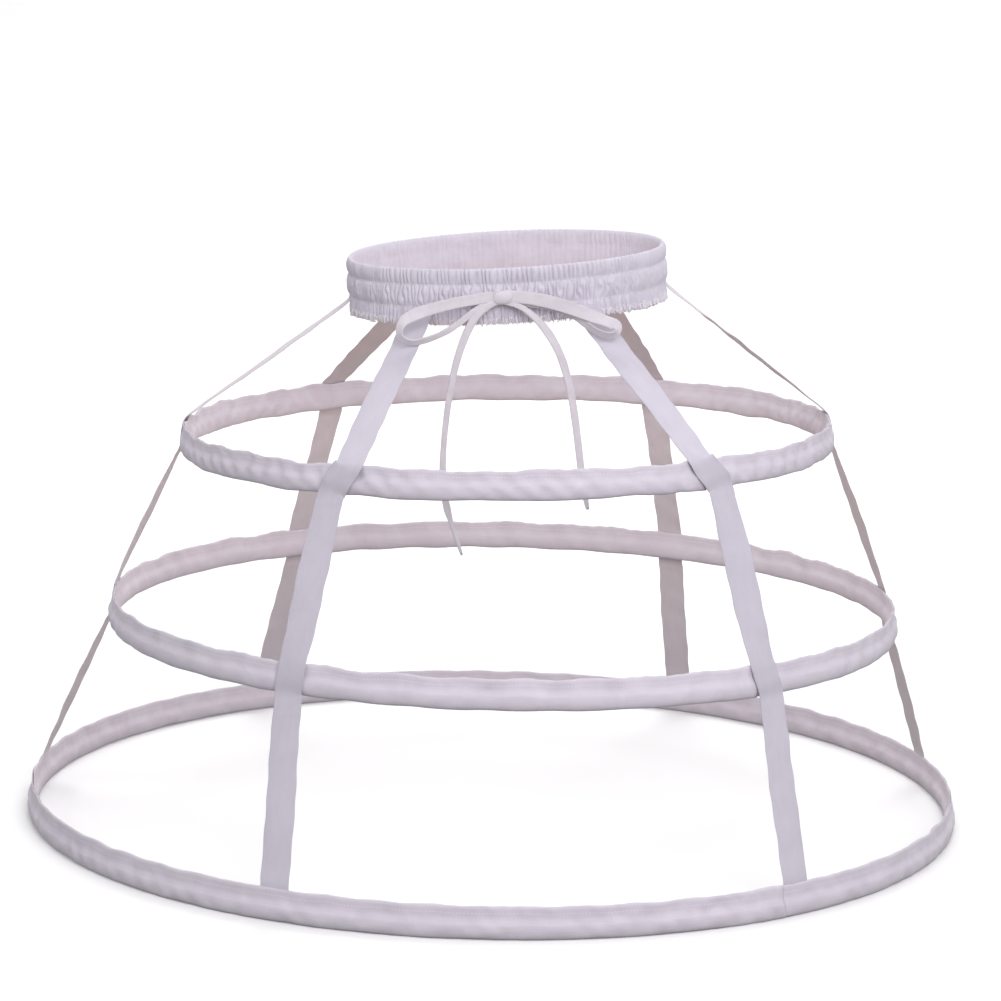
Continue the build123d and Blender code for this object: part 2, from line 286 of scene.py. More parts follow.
# half of it, plus the node's own third input of 0.5: the height runs from 0 to 1
weave_group.links.new(maths(weave_group, "MULTIPLY_ADD", crossing, 0.5), weave_out.inputs[0])
slub = add_node(weave_group, "ShaderNodeTexNoise", {
    "Vector": add_node(weave_group, "ShaderNodeVectorMath", {
        0: weave_in.outputs["Cloth Position"], 1: (60.0, 900.0, 1.0),
    }, operation="MULTIPLY").outputs[0],
    "Scale": 1.0, "Detail": 2.0,
})
weave_group.links.new(slub.outputs[0], weave_out.inputs[1])
print("group", weave_group.name)

# %% Group: soft creases
crease_group, crease_in, crease_out = new_group(
    "soft_creases",
    [("Place", VECTOR, None), ("Crease Size", FLOAT, 0.02), ("Detail", FLOAT, 3.0)],
    [("Crease Height", FLOAT), ("Crease Shade", FLOAT)],
)
crease_scale = maths(crease_group, "DIVIDE", 1.0, crease_in.outputs["Crease Size"])
broad = add_node(crease_group, "ShaderNodeTexNoise", {
    "Vector": crease_in.outputs["Place"], "Scale": crease_scale,
    "Detail": crease_in.outputs["Detail"], "Roughness": 0.55, "Distortion": 0.6,
})
crease_group.links.new(broad.outputs[0], crease_out.inputs[0])
softened = add_node(crease_group, "ShaderNodeMapRange", {
    "Value": broad.outputs[0], "From Min": 0.3, "From Max": 0.7,
}, interpolation_type="SMOOTHSTEP")
crease_group.links.new(softened.outputs[0], crease_out.inputs[1])
print("group", crease_group.name)

# %% [markdown]
# ## Cloth materials
# White cotton is never pure white: dye, shadow between threads and bounced light turn it
# slightly grey and violet. Each cloth mixes a pale colour with a darker one by the crease group,
# the darker one in the valleys of the creases as a painted shade, shades them a little with the
# threads, and keeps a high roughness with a faint sheen from loose fibre.
# The tapes are one cloth in two colours: the two in front, which lie full in the light, are given
# a darker one, a painted shade, and the side and back tapes a paler one, a painted light on their
# shaded inner faces.

# %% Cloth material maker
def cloth_material(name, pale, shaded, spacing, twill=0.0, thread_depth=0.00006,
                   crease_size=0.02, crease_depth=0.0006, roughness=0.85, sheen=0.25):
    """A woven material with its own thread size and crease size."""
    material = bpy.data.materials.new(name)
    material.use_nodes = True
    tree = material.node_tree
    shader = tree.nodes["Principled BSDF"]
    cloth = add_node(tree, "ShaderNodeUVMap", uv_map="cloth").outputs[0]
    place = add_node(tree, "ShaderNodeTexCoord").outputs["Object"]
    threads = add_node(tree, "ShaderNodeGroup", node_tree=weave_group)
    tree.links.new(cloth, threads.inputs["Cloth Position"])
    threads.inputs["Thread Spacing"].default_value = spacing
    threads.inputs["Twill"].default_value = twill
    creases = add_node(tree, "ShaderNodeGroup", node_tree=crease_group)
    tree.links.new(place, creases.inputs["Place"])
    creases.inputs["Crease Size"].default_value = crease_size
    # painted shade: the colour turns to the shaded tone where the crease height is low, in the
    # creases' valleys
    tone = add_node(tree, "ShaderNodeMix", {
        0: creases.outputs["Crease Shade"], 6: shaded, 7: pale,
    }, data_type="RGBA")
    thread_tone = add_node(tree, "ShaderNodeMapRange", {
        "Value": threads.outputs["Thread Shade"], "From Min": 0.3, "From Max": 0.7,
        "To Min": 0.965, "To Max": 1.0,
    })
    tint = add_node(tree, "ShaderNodeMix", {
        0: 1.0, 6: tone.outputs[2], 7: thread_tone.outputs[0],
    }, data_type="RGBA", blend_type="MULTIPLY")
    tree.links.new(tint.outputs[2], shader.inputs["Base Color"])
    fold = add_node(tree, "ShaderNodeBump", {
        "Height": creases.outputs["Crease Height"], "Distance": crease_depth, "Strength": 1.0,
    })
    thread_bump = add_node(tree, "ShaderNodeBump", {
        "Height": threads.outputs["Thread Height"], "Distance": thread_depth, "Strength": 0.8,
        "Normal": fold.outputs[0],
    })
    tree.links.new(thread_bump.outputs[0], shader.inputs["Normal"])
    shader.inputs["Roughness"].default_value = roughness
    shader.inputs["Specular IOR Level"].default_value = 0.25
    shader.inputs["Sheen Weight"].default_value = sheen
    shader.inputs["Sheen Roughness"].default_value = 0.4
    return material


casing_cloth = cloth_material(
    "casing_cloth", (0.71, 0.665, 0.745, 1), (0.665, 0.617, 0.70, 1), 0.00035)
band_cloth = cloth_material(
    "band_cloth", (0.72, 0.68, 0.77, 1), (0.67, 0.63, 0.722, 1), 0.00035, crease_size=0.012)
# painted shade: the two front tapes get a darker colour than their cloth, against the light that
# falls full on them
strap_tape = cloth_material(
    "strap_tape", (0.585, 0.55, 0.632, 1), (0.56, 0.526, 0.606, 1), 0.0005, twill=1.0,
    crease_size=0.03, crease_depth=0.0004)
# painted light: the side and back tapes get a paler colour of the same cloth, for the light their
# inner faces lack
far_tape_painted_light = cloth_material(
    "far_tape_painted_light", (0.72, 0.672, 0.722, 1), (0.69, 0.642, 0.69, 1), 0.0005, twill=1.0,
    crease_size=0.03, crease_depth=0.0004)
drawstring_tape = cloth_material(
    "drawstring_tape", (0.74, 0.695, 0.75, 1), (0.70, 0.655, 0.712, 1), 0.0006, twill=1.0,
    thread_depth=0.0001, crease_size=0.008, crease_depth=0.0003)
print("cloth materials: casing, band, front tapes, far tapes, drawstring")

# %% Floor paper and sewing thread
def plain_material(name, colour, roughness, grain_size, grain_depth, metallic=0.0):
    """A material without a weave: a fine grain, with a painted shade in its dips."""
    material = bpy.data.materials.new(name)
    material.use_nodes = True
    tree = material.node_tree
    shader = tree.nodes["Principled BSDF"]
    place = add_node(tree, "ShaderNodeTexCoord").outputs["Object"]
    grain_bump_and_shade = add_node(tree, "ShaderNodeGroup", node_tree=crease_group)
    tree.links.new(place, grain_bump_and_shade.inputs["Place"])
    grain_bump_and_shade.inputs["Crease Size"].default_value = grain_size
    # painted shade: the colour is 5 % darker where the grain's height is low
    darker = tuple(0.95 * x for x in colour[:3]) + (1,)
    tone = add_node(tree, "ShaderNodeMix", {
        0: grain_bump_and_shade.outputs["Crease Shade"], 6: darker, 7: colour,
    }, data_type="RGBA")
    tree.links.new(tone.outputs[2], shader.inputs["Base Color"])
    bump = add_node(tree, "ShaderNodeBump", {
        "Height": grain_bump_and_shade.outputs["Crease Height"], "Distance": grain_depth, "Strength": 1.0,
    })
    tree.links.new(bump.outputs[0], shader.inputs["Normal"])
    shader.inputs["Roughness"].default_value = roughness
    shader.inputs["Metallic"].default_value = metallic
    return material


paper = plain_material("floor_paper", (0.97, 0.97, 0.97, 1), 0.9, 0.6, 0.0001)
sewing_thread = plain_material("sewing_thread", (0.83, 0.79, 0.84, 1), 0.7, 0.002, 0.00005)
floor.data.materials.append(paper)
print("paper and thread")


def finish_piece(piece, material, slot, *nodes):
    """Gives a piece its finish and joins it to the frame in place of the named nodes."""
    piece.data.materials.append(material)
    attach(piece, "root")
    if nodes:
        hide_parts(*nodes)
    return piece


# %% [markdown]
# ## Drawstring: the route of the bow
# The drawstring is a flat cotton tape, eight millimetres wide. Tied, it makes a knot, two loops
# that lie flat over the band, and two tails that hang down inside the top hoop. A smooth NURBS
# curve runs through listed points from the knot, and the tape's mesh follows that curve:
# flat and broad in the upper limb of a loop, narrow where it folds along its middle.

# %% Points of the loops and tails, from the middle of the knot
knot_low, knot_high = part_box("bow_knot")
knot_top = 6.0 * mm
knot_middle = Vector((
    (knot_low.x + knot_high.x) / 2, (knot_low.y + knot_high.y) / 2, knot_high.z - knot_top,
))
bow_points = {
    "bow_left_loop": [
        (-6, -0.5, 0.5), (-14, -0.3, -0.6), (-27, -1, -3), (-40, -4, -5.5), (-53, -7.5, -8.6),
        (-66, -12, -12.5), (-77, -16.5, -18.5), (-78.5, -18.5, -29), (-69.5, -18.5, -33.8),
        (-56, -14.5, -30.5), (-43, -9, -25.2), (-31, -4, -16.6), (-20, -1, -8.5),
        (-12, 0.5, -5), (-6, 0.5, -3),
    ],
    "bow_right_loop": [
        (-4, -0.5, 0.5), (10, -0.5, 0), (18, -0.6, -0.8), (28, -2.5, -2.4), (41, -7, -4.9),
        (54, -12, -8.8), (66, -15.5, -12.8), (75.5, -17.8, -15.4), (80.6, -19.2, -17.5),
        (81, -20.6, -22.2), (76, -21, -24.8), (68, -19.2, -23.4), (60, -13, -19), (50, -6.5, -11.4),
        (40, -2.5, -8.2), (28, 0.6, -5.8), (15, 1.2, -4.4), (-4, 0.5, -3),
    ],
    "bow_left_tail": [
        (-7, -0.5, -3.5), (-13, -1.5, -6), (-21.5, -3, -12.5), (-28, -5, -23.5),
        (-33.5, -7, -37.5), (-38.5, -9.5, -57), (-41.8, -11, -79), (-44.2, -12, -104),
        (-45, -13, -129), (-42.2, -13, -152), (-37, -12, -170), (-29.5, -11, -191),
    ],
    "bow_right_tail": [
        (-5, -0.5, -3.8), (6, -1.2, -4.8), (19, -3, -12.5), (31, -5, -25.5), (40.5, -7, -42.5),
        (46.6, -9, -62.5), (50.6, -10, -82), (53.8, -11, -103), (56.8, -12, -125),
        (59.6, -12, -142), (62.5, -12, -154.5),
    ],
}


def smooth_route(name, points):
    """Points read along the NURBS curve that the given points control."""
    curve = bpy.data.curves.new(name, "CURVE")
    curve.dimensions = "3D"
    curve.resolution_u = 12
    spline = curve.splines.new("NURBS")
    spline.points.add(len(points) - 1)
    for control, point in zip(spline.points, points):
        control.co = (*(knot_middle + Vector(point) * mm), 1)
    spline.order_u = 3
    spline.use_endpoint_u = True
    holder = bpy.data.objects.new(name, curve)
    read = bpy.data.meshes.new_from_object(holder)
    line = np.array([vertex.co for vertex in read.vertices], float)
    bpy.data.objects.remove(holder)
    bpy.data.meshes.remove(read)
    return line


print("bow points", {name: len(points) for name, points in bow_points.items()})

# %% Tape that follows a route
tape_girth = 18 * mm
crumple_depth = 0.07 * mm
end_pinch = 0.3  # how much of a tape's section is left where its end closes


def tape_mesh(name, line, widths, thicknesses, faces, hollow, sides=20):
    """A flat tape along a line. Widths, faces (the way its flat side looks) and hollow (how far
    its edges curl) are given at shares of the length and blended between them."""
    length = along_lengths(line)

    def blend(table):
        rows = np.array(table, float)
        return spread(length / length[-1], rows[:, 0], rows[:, 1:])

    tangent = unit(np.gradient(line, axis=0))
    face = blend(faces)
    face = unit(face - tangent * (face * tangent).sum(1, keepdims=True))
    across = np.cross(tangent, face)
    width, thick, curl = blend(widths) * mm, blend(thicknesses) * mm, blend(hollow) * mm
    turn = round_turns(sides)
    flat, proud = squared(np.cos(turn), 0.6), squared(np.sin(turn), 0.8)
    rng = np.random.default_rng(len(name) + 5)
    crumple = sum(
        np.sin(length[:, None] * rng.uniform(90, 420) + rng.uniform(0, 6) + flat[None] * 1.5)
        for _ in range(5)
    ) * crumple_depth
    out = (width / 2) * flat[None]
    lift = (thick / 2) * proud[None] + curl * (flat[None] ** 2 - 0.4) + crumple
    points = line[:, None] + across[:, None] * out[..., None] + face[:, None] * lift[..., None]
    return capped_piece(name, points, line, length, tape_girth, end_pinch)


def capped_piece(name, points, line, length, girth, pinch):
    """A tape's mesh from its sections, with its two ends drawn in towards its middle line."""
    first, last = [line[k] + (points[k] - line[k]) * pinch for k in (0, -1)]
    sides = points.shape[1]
    around = np.concatenate([[0], np.cumsum(np.full(sides, girth / sides))])
    return grid_piece(
        name, np.concatenate([first[None], points, last[None]]), ring_across=True,
        cloth=(np.concatenate([[0], length, length[-1:]]), around))


front = (0, -1, 0)
tape_shapes = {
    "bow_left_loop": dict(
        widths=[(0, 7.6), (0.1, 8.4), (0.25, 8.2), (0.38, 9.2), (0.46, 8.2), (0.54, 6.6),
                (0.64, 5.2), (0.8, 4.6), (0.92, 5.6), (1, 6.0)],
        thicknesses=[(0, 2.0), (0.3, 1.7), (0.7, 2.2), (1, 2.0)],
        faces=[(0, 0, -1, 0.12), (0.3, 0, -1, 0.1), (0.4, -0.5, -0.85, 0.1),
               (0.5, -0.75, -0.6, -0.4), (0.6, 0.1, -0.8, -0.6), (0.8, 0, -1, -0.2), (1, *front)],
        hollow=[(0, 0.2), (0.3, 0.7), (0.6, 0.5), (1, 0.2)],
    ),
    "bow_right_loop": dict(
        widths=[(0, 9.2), (0.1, 9.8), (0.3, 9.6), (0.42, 9.0), (0.5, 7.8), (0.6, 7.0),
                (0.8, 6.4), (1, 5.0)],
        thicknesses=[(0, 2.0), (0.3, 1.7), (0.7, 2.0), (1, 2.0)],
        faces=[(0, 0, -1, 0.12), (0.3, 0.05, -1, 0.12), (0.42, 0.5, -0.8, 0.3),
               (0.5, 0.75, -0.6, -0.4), (0.6, -0.1, -0.8, -0.6), (0.8, 0, -1, -0.1), (1, *front)],
        hollow=[(0, 0.2), (0.3, 0.7), (0.6, 0.5), (1, 0.2)],
    ),
    "bow_left_tail": dict(
        widths=[(0, 5.0), (0.08, 6.0), (0.2, 5.8), (0.35, 4.8), (0.6, 4.4), (0.74, 5.8),
                (0.82, 5.6), (0.87, 3.4), (0.94, 3.8), (1, 1.6)],
        thicknesses=[(0, 2.4), (0.3, 2.6), (0.8, 2.2), (0.86, 1.9), (1, 1.4)],
        faces=[(0, *front), (0.3, 0.2, -1, 0), (0.6, -0.2, -1, 0), (0.8, -0.4, -1, 0),
               (0.9, 0.8, -0.8, 0), (1, 0.5, -1, 0)],
        hollow=[(0, 0.2), (0.4, 0.5), (1, 0.3)],
    ),
    "bow_right_tail": dict(
        widths=[(0, 3.6), (0.12, 4.6), (0.24, 6.4), (0.5, 5.8), (0.75, 5.4), (0.9, 5.2), (1, 2.8)],
        thicknesses=[(0, 2.4), (0.3, 2.4), (0.8, 2.4), (1, 1.6)],
        faces=[(0, *front), (0.2, 0.3, -1, 0.3), (0.5, 0.5, -1, 0.1), (0.8, 0, -1, 0),
               (1, -0.3, -1, 0)],
        hollow=[(0, 0.2), (0.4, 0.6), (1, 0.3)],
    ),
}
print("tape shapes", len(tape_shapes))

# %% Knot: the tape wrapped once round itself
wrap_sway = 0.3 * mm  # how far the wrap wanders to the side as it goes round
fold_depth = 0.1 * mm


def wrap_of_tape(name, centre, radii, width, thickness, lean_angle, sides=16, steps=56):
    """A short band of tape that goes round the middle of the bow."""
    turn, local = round_turns(steps), round_turns(sides)
    none = np.zeros(steps)
    ring = np.stack([none, -squared(np.cos(turn), 0.45) * radii[0], np.sin(turn) * radii[1]], 1)
    ring[:, 0] += np.sin(turn + 0.6) * wrap_sway
    out = unit(np.stack([none, -np.cos(turn) / radii[0], np.sin(turn) / radii[1]], 1))
    side = np.array([cos(lean_angle), 0, sin(lean_angle)])
    flat, proud = squared(np.cos(local), 0.55), np.sin(local)
    pinch = 1 - 0.12 * np.sin(turn) ** 2
    fold = fold_depth * np.sin(flat[None] * 4 + 1.6 * np.sin(turn[:, None]))
    lift = proud[None] * thickness / 2 - fold_depth * flat[None] ** 2 + fold
    points = (
        np.array(centre)
        + ring[:, None]
        + side * (flat[None] * pinch[:, None] * width / 2)[..., None]
        + out[:, None] * lift[..., None]
    )
    around = np.arange(sides + 1) * 2 * width / sides
    return grid_piece(name, points, True, True, (along_lengths(ring, ring=True), around))


knot = wrap_of_tape(
    "bow_knot_wrap", knot_middle + Vector((-6.4, -0.2, 0.4)) * mm,
    (1.2 * mm, 4.1 * mm), 8.0 * mm, 0.95 * mm, radians(-20),
)
finish_piece(knot, drawstring_tape, "drawstring", "bow_knot")
core = wrap_of_tape(
    "bow_knot_core", knot_middle + Vector((-3.4, 0.4, -1.0)) * mm,
    (1.6 * mm, 2.9 * mm), 14.5 * mm, 4.4 * mm, radians(3),
)
finish_piece(core, drawstring_tape, "drawstring")
print("knot", knot.name, core.name)

# %% Loops and tails of the bow
for name, points in bow_points.items():
    route = smooth_route(name, points)
    tape = tape_mesh(name + "_tape", route, **tape_shapes[name])
    finish_piece(tape, drawstring_tape, "drawstring", name)
    print(name, "length", round(float(along_lengths(route)[-1]), 4))

# %% [markdown]
# ## Where things lie on the hoops and round the waist
# A turn is counted in degrees round the wearer, from the front towards +X. The hoops' centres
# and radii come from the bones in the frame, so every cloth piece follows them.

# %% Hoops and waist oval
bone_thickness = 1.6 * mm
top_tilt = radians(1.5)
casing_heights = {"top": 21 * mm, "middle": 22 * mm, "bottom": 23 * mm}
casing_body = 13.7 * mm
casing_half = 3.9 * mm  # the cloth stands a little fuller than the frame's plain solid
# turns at the waist, then where a tape comes onto each hoop and where it leaves it
straps = {
    "strap_front_left": (-27.0, -26.5, -29.6, -29.0, -29.3, -24.5, -24.5),
    "strap_front_right": (23.0, 33.4, 37.1, 37.1, 38.4, 36.8, 36.8),
    "strap_side_left": (-90.0, -93.0, -93.0, -94.0, -94.0, -96.0, -96.0),
    "strap_side_right": (90.0, 95.0, 95.0, 99.0, 99.0, 104.0, 104.0),
    "strap_back_left": (-155.0, -144.5, -144.5, -145.0, -145.0, -146.0, -146.0),
    "strap_back_right": (155.0, 151.0, 151.0, 152.0, 152.0, 153.0, 153.0),
}
laps = {"top": 18 * mm, "middle": 29 * mm, "bottom": 24 * mm}
strap_width = 22 * mm
strap_thickness = 0.8 * mm
lap_gap = 0.3 * mm
hoops = {}
for name, height in casing_heights.items():
    low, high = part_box(f"{name}_hoop_bone")
    casing_low, casing_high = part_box(f"{name}_hoop_casing")
    tilt = top_tilt if name == "top" else 0.0
    radius = (high.y - low.y - bone_thickness) / 2
    centre = np.array([(low.x + high.x) / 2, (low.y + high.y) / 2,
                       (casing_low.z + casing_high.z) / 2])
    hoops[name] = dict(centre=centre, radius=radius, height=height, tilt=tilt,
                       x=np.array([cos(tilt), 0, sin(tilt)]), y=np.array([0.0, 1, 0]),
                       z=np.array([-sin(tilt), 0, cos(tilt)]), lap=laps[name])
    print(name, "radius", round(radius, 4), "centre", centre.round(4))


def strap_turns(strap, hoop_name):
    """Turns, in radians, at which a tape comes onto a hoop and leaves it."""
    first = 1 + 2 * list(hoops).index(hoop_name)
    return [radians(turn) for turn in straps[strap][first : first + 2]]


def hoop_points(hoop, turns, off, height):
    """Points beside a hoop's middle line at turns in radians."""
    turns, off, height = np.broadcast_arrays(turns, off, height)
    out = np.sin(turns)[..., None] * hoop["x"] - np.cos(turns)[..., None] * hoop["y"]
    return hoop["centre"] + out * (hoop["radius"] + off)[..., None] + height[..., None] * hoop["z"]


waist_half_width, waist_half_depth, waist_side_radius = 118.5 * mm, 91.4 * mm, 76.0 * mm
waist_side_tilt, waist_back_tilt = radians(3.9), radians(3.3)
band_height, lower_stitch, upper_stitch = 41 * mm, 12.5 * mm, 29 * mm
side_x = waist_half_width - waist_side_radius
front_radius = (side_x**2 + waist_half_depth**2 - waist_side_radius**2) / (
    2 * (waist_half_depth - waist_side_radius))
front_y = front_radius - waist_half_depth
corner_turn = np.arctan2(side_x, front_y)
waist_x = np.array(Vector((1, 0, tan(waist_side_tilt))).normalized())
waist_z = np.array(Vector((-tan(waist_side_tilt), -tan(waist_back_tilt), 1)).normalized())
waist_y = np.cross(waist_z, waist_x)
waist_origin = np.array([5.0 * mm, 0.0, 393.0 * mm])


def waist_frame(turns):
    """Point on the waist oval's middle line and the way out from it, at turns in radians."""
    turns = (np.asarray(turns, float) + pi) % (2 * pi) - pi
    side = np.sign(turns)
    size = np.abs(turns)
    at_side = (size > corner_turn) & (size < pi - corner_turn)
    at_back = size >= pi - corner_turn
    x0 = np.where(at_side, side * side_x, 0.0)
    y0 = np.where(at_side, 0.0, np.where(at_back, -front_y, front_y))
    radius = np.where(at_side, waist_side_radius, front_radius)
    out = np.sin(turns)[..., None] * waist_x - np.cos(turns)[..., None] * waist_y
    middle = waist_origin + x0[..., None] * waist_x + y0[..., None] * waist_y
    return middle + out * radius[..., None], out


print("waist oval", round(front_radius, 4), "corner", round(float(np.degrees(corner_turn)), 1))

# %% [markdown]
# ## Ripples
# Sewn cloth is never even. A ripple here is a sum of a few waves with seeded random sizes and
# starts. Whole numbers of waves go round a ring, so that its end meets its start.

# %% Ripple maker
def ripple(turns, across, seed, low, high, count, skew=0.0):
    """Uneven waves round a ring, from low to high waves a turn, slanted by skew across it."""
    rng = np.random.default_rng(seed)
    total = 0.0
    for waves in rng.integers(low, high, count):
        start = rng.uniform(0, 2 * pi)
        slant = rng.normal() * skew
        total = total + rng.normal() * np.cos(waves * turns + slant * across + start)
    return total / np.sqrt(count / 2)


def near(turns, centre, width):
    """1 at a turn, falling smoothly to 0 at a width away."""
    away = np.abs((turns - centre + pi) % (2 * pi) - pi) / width
    return np.clip(1 - away, 0, 1) ** 2 * (3 - 2 * np.clip(1 - away, 0, 1))


print("nearness half way off", near(0.5, 0.0, 1.0))

# %% [markdown]
# ## Hoop casings
# A casing is a strip of cotton folded over the bone and stitched along the top, so its section
# is a drop: round below, where the bone lies, and flat above, where the two layers meet. The
# strip is cut a little short for the hoop, and its seam puckers. Its two ends overlap beside
# the front right tape: here the tube simply runs on past its own start, a cloth's thickness
# further out, and its folded end closes down onto it.

# %% Casing shape
strap_calm_reach = 15 * mm  # the puckers fade this near to a tape
lap_gather_reach = 34 * mm
lap_gather_pitch = 4.1 * mm


def casing_profile(height, steps=26):
    """Drop-shaped outline of a casing: offsets and heights, from the top edge down the outside."""
    body_middle = casing_body / 2 - height / 2
    turn = np.linspace(0.0, pi, steps // 2)
    outer_off = casing_half * np.sin(turn) ** 0.8
    outer_z = body_middle + casing_body / 2 * np.cos(turn)
    seam_z = np.linspace(height / 2, body_middle + casing_body * 0.32, 6)
    seam_off = np.interp(seam_z, [seam_z[-1], seam_z[-1] + 3 * mm, height / 2],
                         [casing_half * 0.8, 1.25 * mm, 0.75 * mm])
    below = outer_z < seam_z[-1] - 0.5 * mm
    off = np.concatenate([seam_off, outer_off[below]])
    z = np.concatenate([seam_z, outer_z[below]])
    top = height / 2
    # the strip's own edges are turned in between the seam's two layers
    turned_off = np.array([0.25, 0.22, 0.3]) * mm
    turned_z = np.array([top - 4 * mm, top - 1 * mm, top + 0.35 * mm])
    off = np.concatenate([turned_off, off, -off[-2::-1], -turned_off[::-1]])
    z = np.concatenate([turned_z, z, z[-2::-1], turned_z[::-1]])
    return off, z


def lap_turns(name):
    """First and last turn of a casing's overlap, in radians."""
    hoop = hoops[name]
    tape_turn = strap_turns("strap_front_right", name)[1]
    last = tape_turn - (strap_width / 2 + lap_gap) / hoop["radius"]
    return last - hoop["lap"] / hoop["radius"], last


def make_casing(name, seed, spacing, pucker):
    """The cloth tube of one hoop, with puckered seam and overlapped ends."""
    hoop = hoops[name]
    radius = hoop["radius"]
    start, stop = lap_turns(name)
    arc = 2 * pi + (stop - start)
    run = np.linspace(0, arc, int(arc * radius / spacing))
    turns = start + run
    off, z = casing_profile(hoop["height"])
    rise = (z - z.min()) / (z.max() - z.min())
    t, v = turns[:, None], rise[None]
    seam = np.clip((v - 0.55) / 0.45, 0, 1)
    at_straps = sum(
        near(turns, sum(strap_turns(strap, name)) / 2, strap_calm_reach / radius)
        for strap in straps
    )[:, None]
    lap_strength = near(turns, (start + stop) / 2, lap_gather_reach / radius)[:, None]
    calm = 1 - 0.75 * np.clip(at_straps, 0, 1)

    def wave(number, low, high, count, skew):
        """A ripple along the casing; low and high are waves a turn at a radius of one metre."""
        return ripple(t, v, seed + number, int(low * radius), int(high * radius), count, skew)

    front_side = (np.sign(off) * np.clip(np.abs(off) / mm - 0.3, 0, 1))[None]
    # the seam leans in and out, the body puckers and drags, the lap gathers, and the edges
    # above and below rise and fall
    sway = wave(1, 60, 260, 9, 1.5) * 0.55 * mm * pucker * seam * calm
    swell = wave(2, 90, 420, 12, 5.0) * 0.28 * mm * pucker * (0.5 + 0.8 * np.sin(v * pi)) * calm
    drag = wave(4, 300, 700, 10, 4.0) * 0.13 * mm * pucker * (seam + 0.35)
    gather = np.cos(t * radius * 2 * pi / lap_gather_pitch + v * 1.5) * lap_strength * 0.16 * mm
    bob = wave(3, 40, 190, 8, 0.0) * 0.5 * mm * pucker * v * calm
    notch = wave(5, 260, 620, 8, 0.0) * 0.13 * mm * pucker * np.clip(v * 4 - 3, 0, 1)
    dip = wave(6, 50, 200, 7, 0.0) * 0.32 * mm * pucker * (1 - v) ** 2 * calm
    thick = off[None] + front_side * (swell + drag + gather)
    # past a full round the tube lies on its own start
    lapped = np.clip((run - 2 * pi) / (3 * mm / radius), 0, 1)[:, None]
    over = (run >= 2 * pi - 1 * mm / radius)[:, None] * (0.35 + 0.65 * lapped)
    thick = thick + front_side * over * 0.75 * mm
    height = z[None] + bob + notch + dip + over * (0.9 * (v - 0.5)) * mm
    points = hoop_points(hoop, t, thick + sway, height)
    points[..., 2] = np.maximum(points[..., 2], 0.2 * mm)  # the bottom hoop rests on the floor
    # two more rings fold the free end in
    end_turn, end_thick, end_height = turns[-1:, None], thick[-1:], height[-1:]
    inset = hoop_points(hoop, end_turn, end_thick - front_side * 1.6 * mm, end_height * 0.93)
    inner = hoop_points(
        hoop, end_turn - 2 * mm / radius, end_thick - front_side * 2.2 * mm, end_height * 0.88)
    points = np.concatenate([points, inset, inner])
    lengths = np.concatenate([run, [arc, arc]]) * radius
    widths = along_lengths(np.stack([off, z], 1))
    casing = grid_piece(f"{name}_casing_cloth", points, cloth=(lengths, widths))
    finish_piece(casing, casing_cloth, "casing_cloth", f"{name}_hoop_casing")
    hoop["surface"] = lambda turn, index: spread((turn - start) % (2 * pi), run, points[:-2, index])
    hoop["profile"] = (off, z)
    return casing, arc * radius, widths[-1]


for name, seed, pucker in (("top", 11, 1.25), ("middle", 23, 0.85), ("bottom", 37, 0.8)):
    casing, length, around = make_casing(name, seed, 2.4 * mm, pucker)
    print(casing.name, len(casing.data.polygons), "faces, flat", round(around, 4), round(length, 3))

# %% [markdown]
# ## Tapes
# Six flat tapes carry the hoops. Each is sewn under the waistband's lower stitching, runs
# straight over the outside of the two upper hoops, where two rows of stitches hold it, and ends
# inside the seam of the bottom hoop. Between the hoops it is pulled almost straight by their
# weight, with a slight twist and small creases below each crossing.

# %% Route of a tape
# places in a tape's list of stations: two at the band, four on each upper hoop, two in the last
in_band, below_band, top_on, top_off, middle_on, middle_off, bottom_on = 0, 1, 2, 5, 6, 9, 10


def strap_stations(strap):
    """Points down a tape and the way across it, as the frame's solids have them."""
    waist_turn = radians(straps[strap][0])
    over_lap = 0.7 * mm if strap == "strap_front_right" else 0.0  # it crosses a corner of each lap
    at_waist, out = waist_frame(waist_turn)
    across = cos(waist_turn) * waist_x + sin(waist_turn) * waist_y
    stations = [
        (at_waist + out * 0.3 * mm + waist_z * (lower_stitch - 2.0 * mm), across),
        (at_waist + out * 3.0 * mm + waist_z * (lower_stitch - 6.0 * mm), across),
    ]
    # on each hoop: distances out from its middle line and heights, from the top down
    for name, hoop in hoops.items():
        turn_on, turn_off = strap_turns(strap, name)
        top = hoop["height"] / 2
        if name == "bottom":
            places = [(0.0, top + 1.5 * mm), (0.0, top - 4.6 * mm)]
        else:
            middle = casing_body / 2 - top
            places = [(1.9 * mm, top + 1.0 * mm), (4.5 * mm, middle + 3.4 * mm),
                      (4.8 * mm, middle - 1.0 * mm), (4.2 * mm, middle - 5.0 * mm)]
            places = [(off + over_lap, height) for off, height in places]
        for off, height in places:
            share = (places[0][1] - height) / (places[0][1] - places[-1][1])
            turn = turn_on + (turn_off - turn_on) * share
            across = cos(turn) * hoop["x"] + sin(turn) * hoop["y"]
            stations.append((hoop_points(hoop, turn, off, height), across))
    return stations


def strap_line(stations, step=2.0 * mm):
    """Close points along a tape with its corners rounded, and the way across it at each."""
    points = np.array([place for place, _ in stations])
    ways = np.array([way for _, way in stations])
    lengths = along_lengths(points)
    steps = np.linspace(0, lengths[-1], int(lengths[-1] / step))
    line, across = spread(steps, lengths, points), spread(steps, lengths, ways)
    for _ in range(3):
        line[1:-1] = (line[:-2] + 2 * line[1:-1] + line[2:]) / 4
    for _ in range(60):
        across[1:-1] = (across[:-2] + 2 * across[1:-1] + across[2:]) / 4
    return line, across, steps, lengths


print("stations down a tape", len(strap_stations("strap_front_left")))

# %% Tape mesh
free_reach = 35 * mm  # a tape moves freely this far from where it is sewn
tuck_pitch, tuck_place, tuck_reach = 9 * mm, 9 * mm, 12 * mm


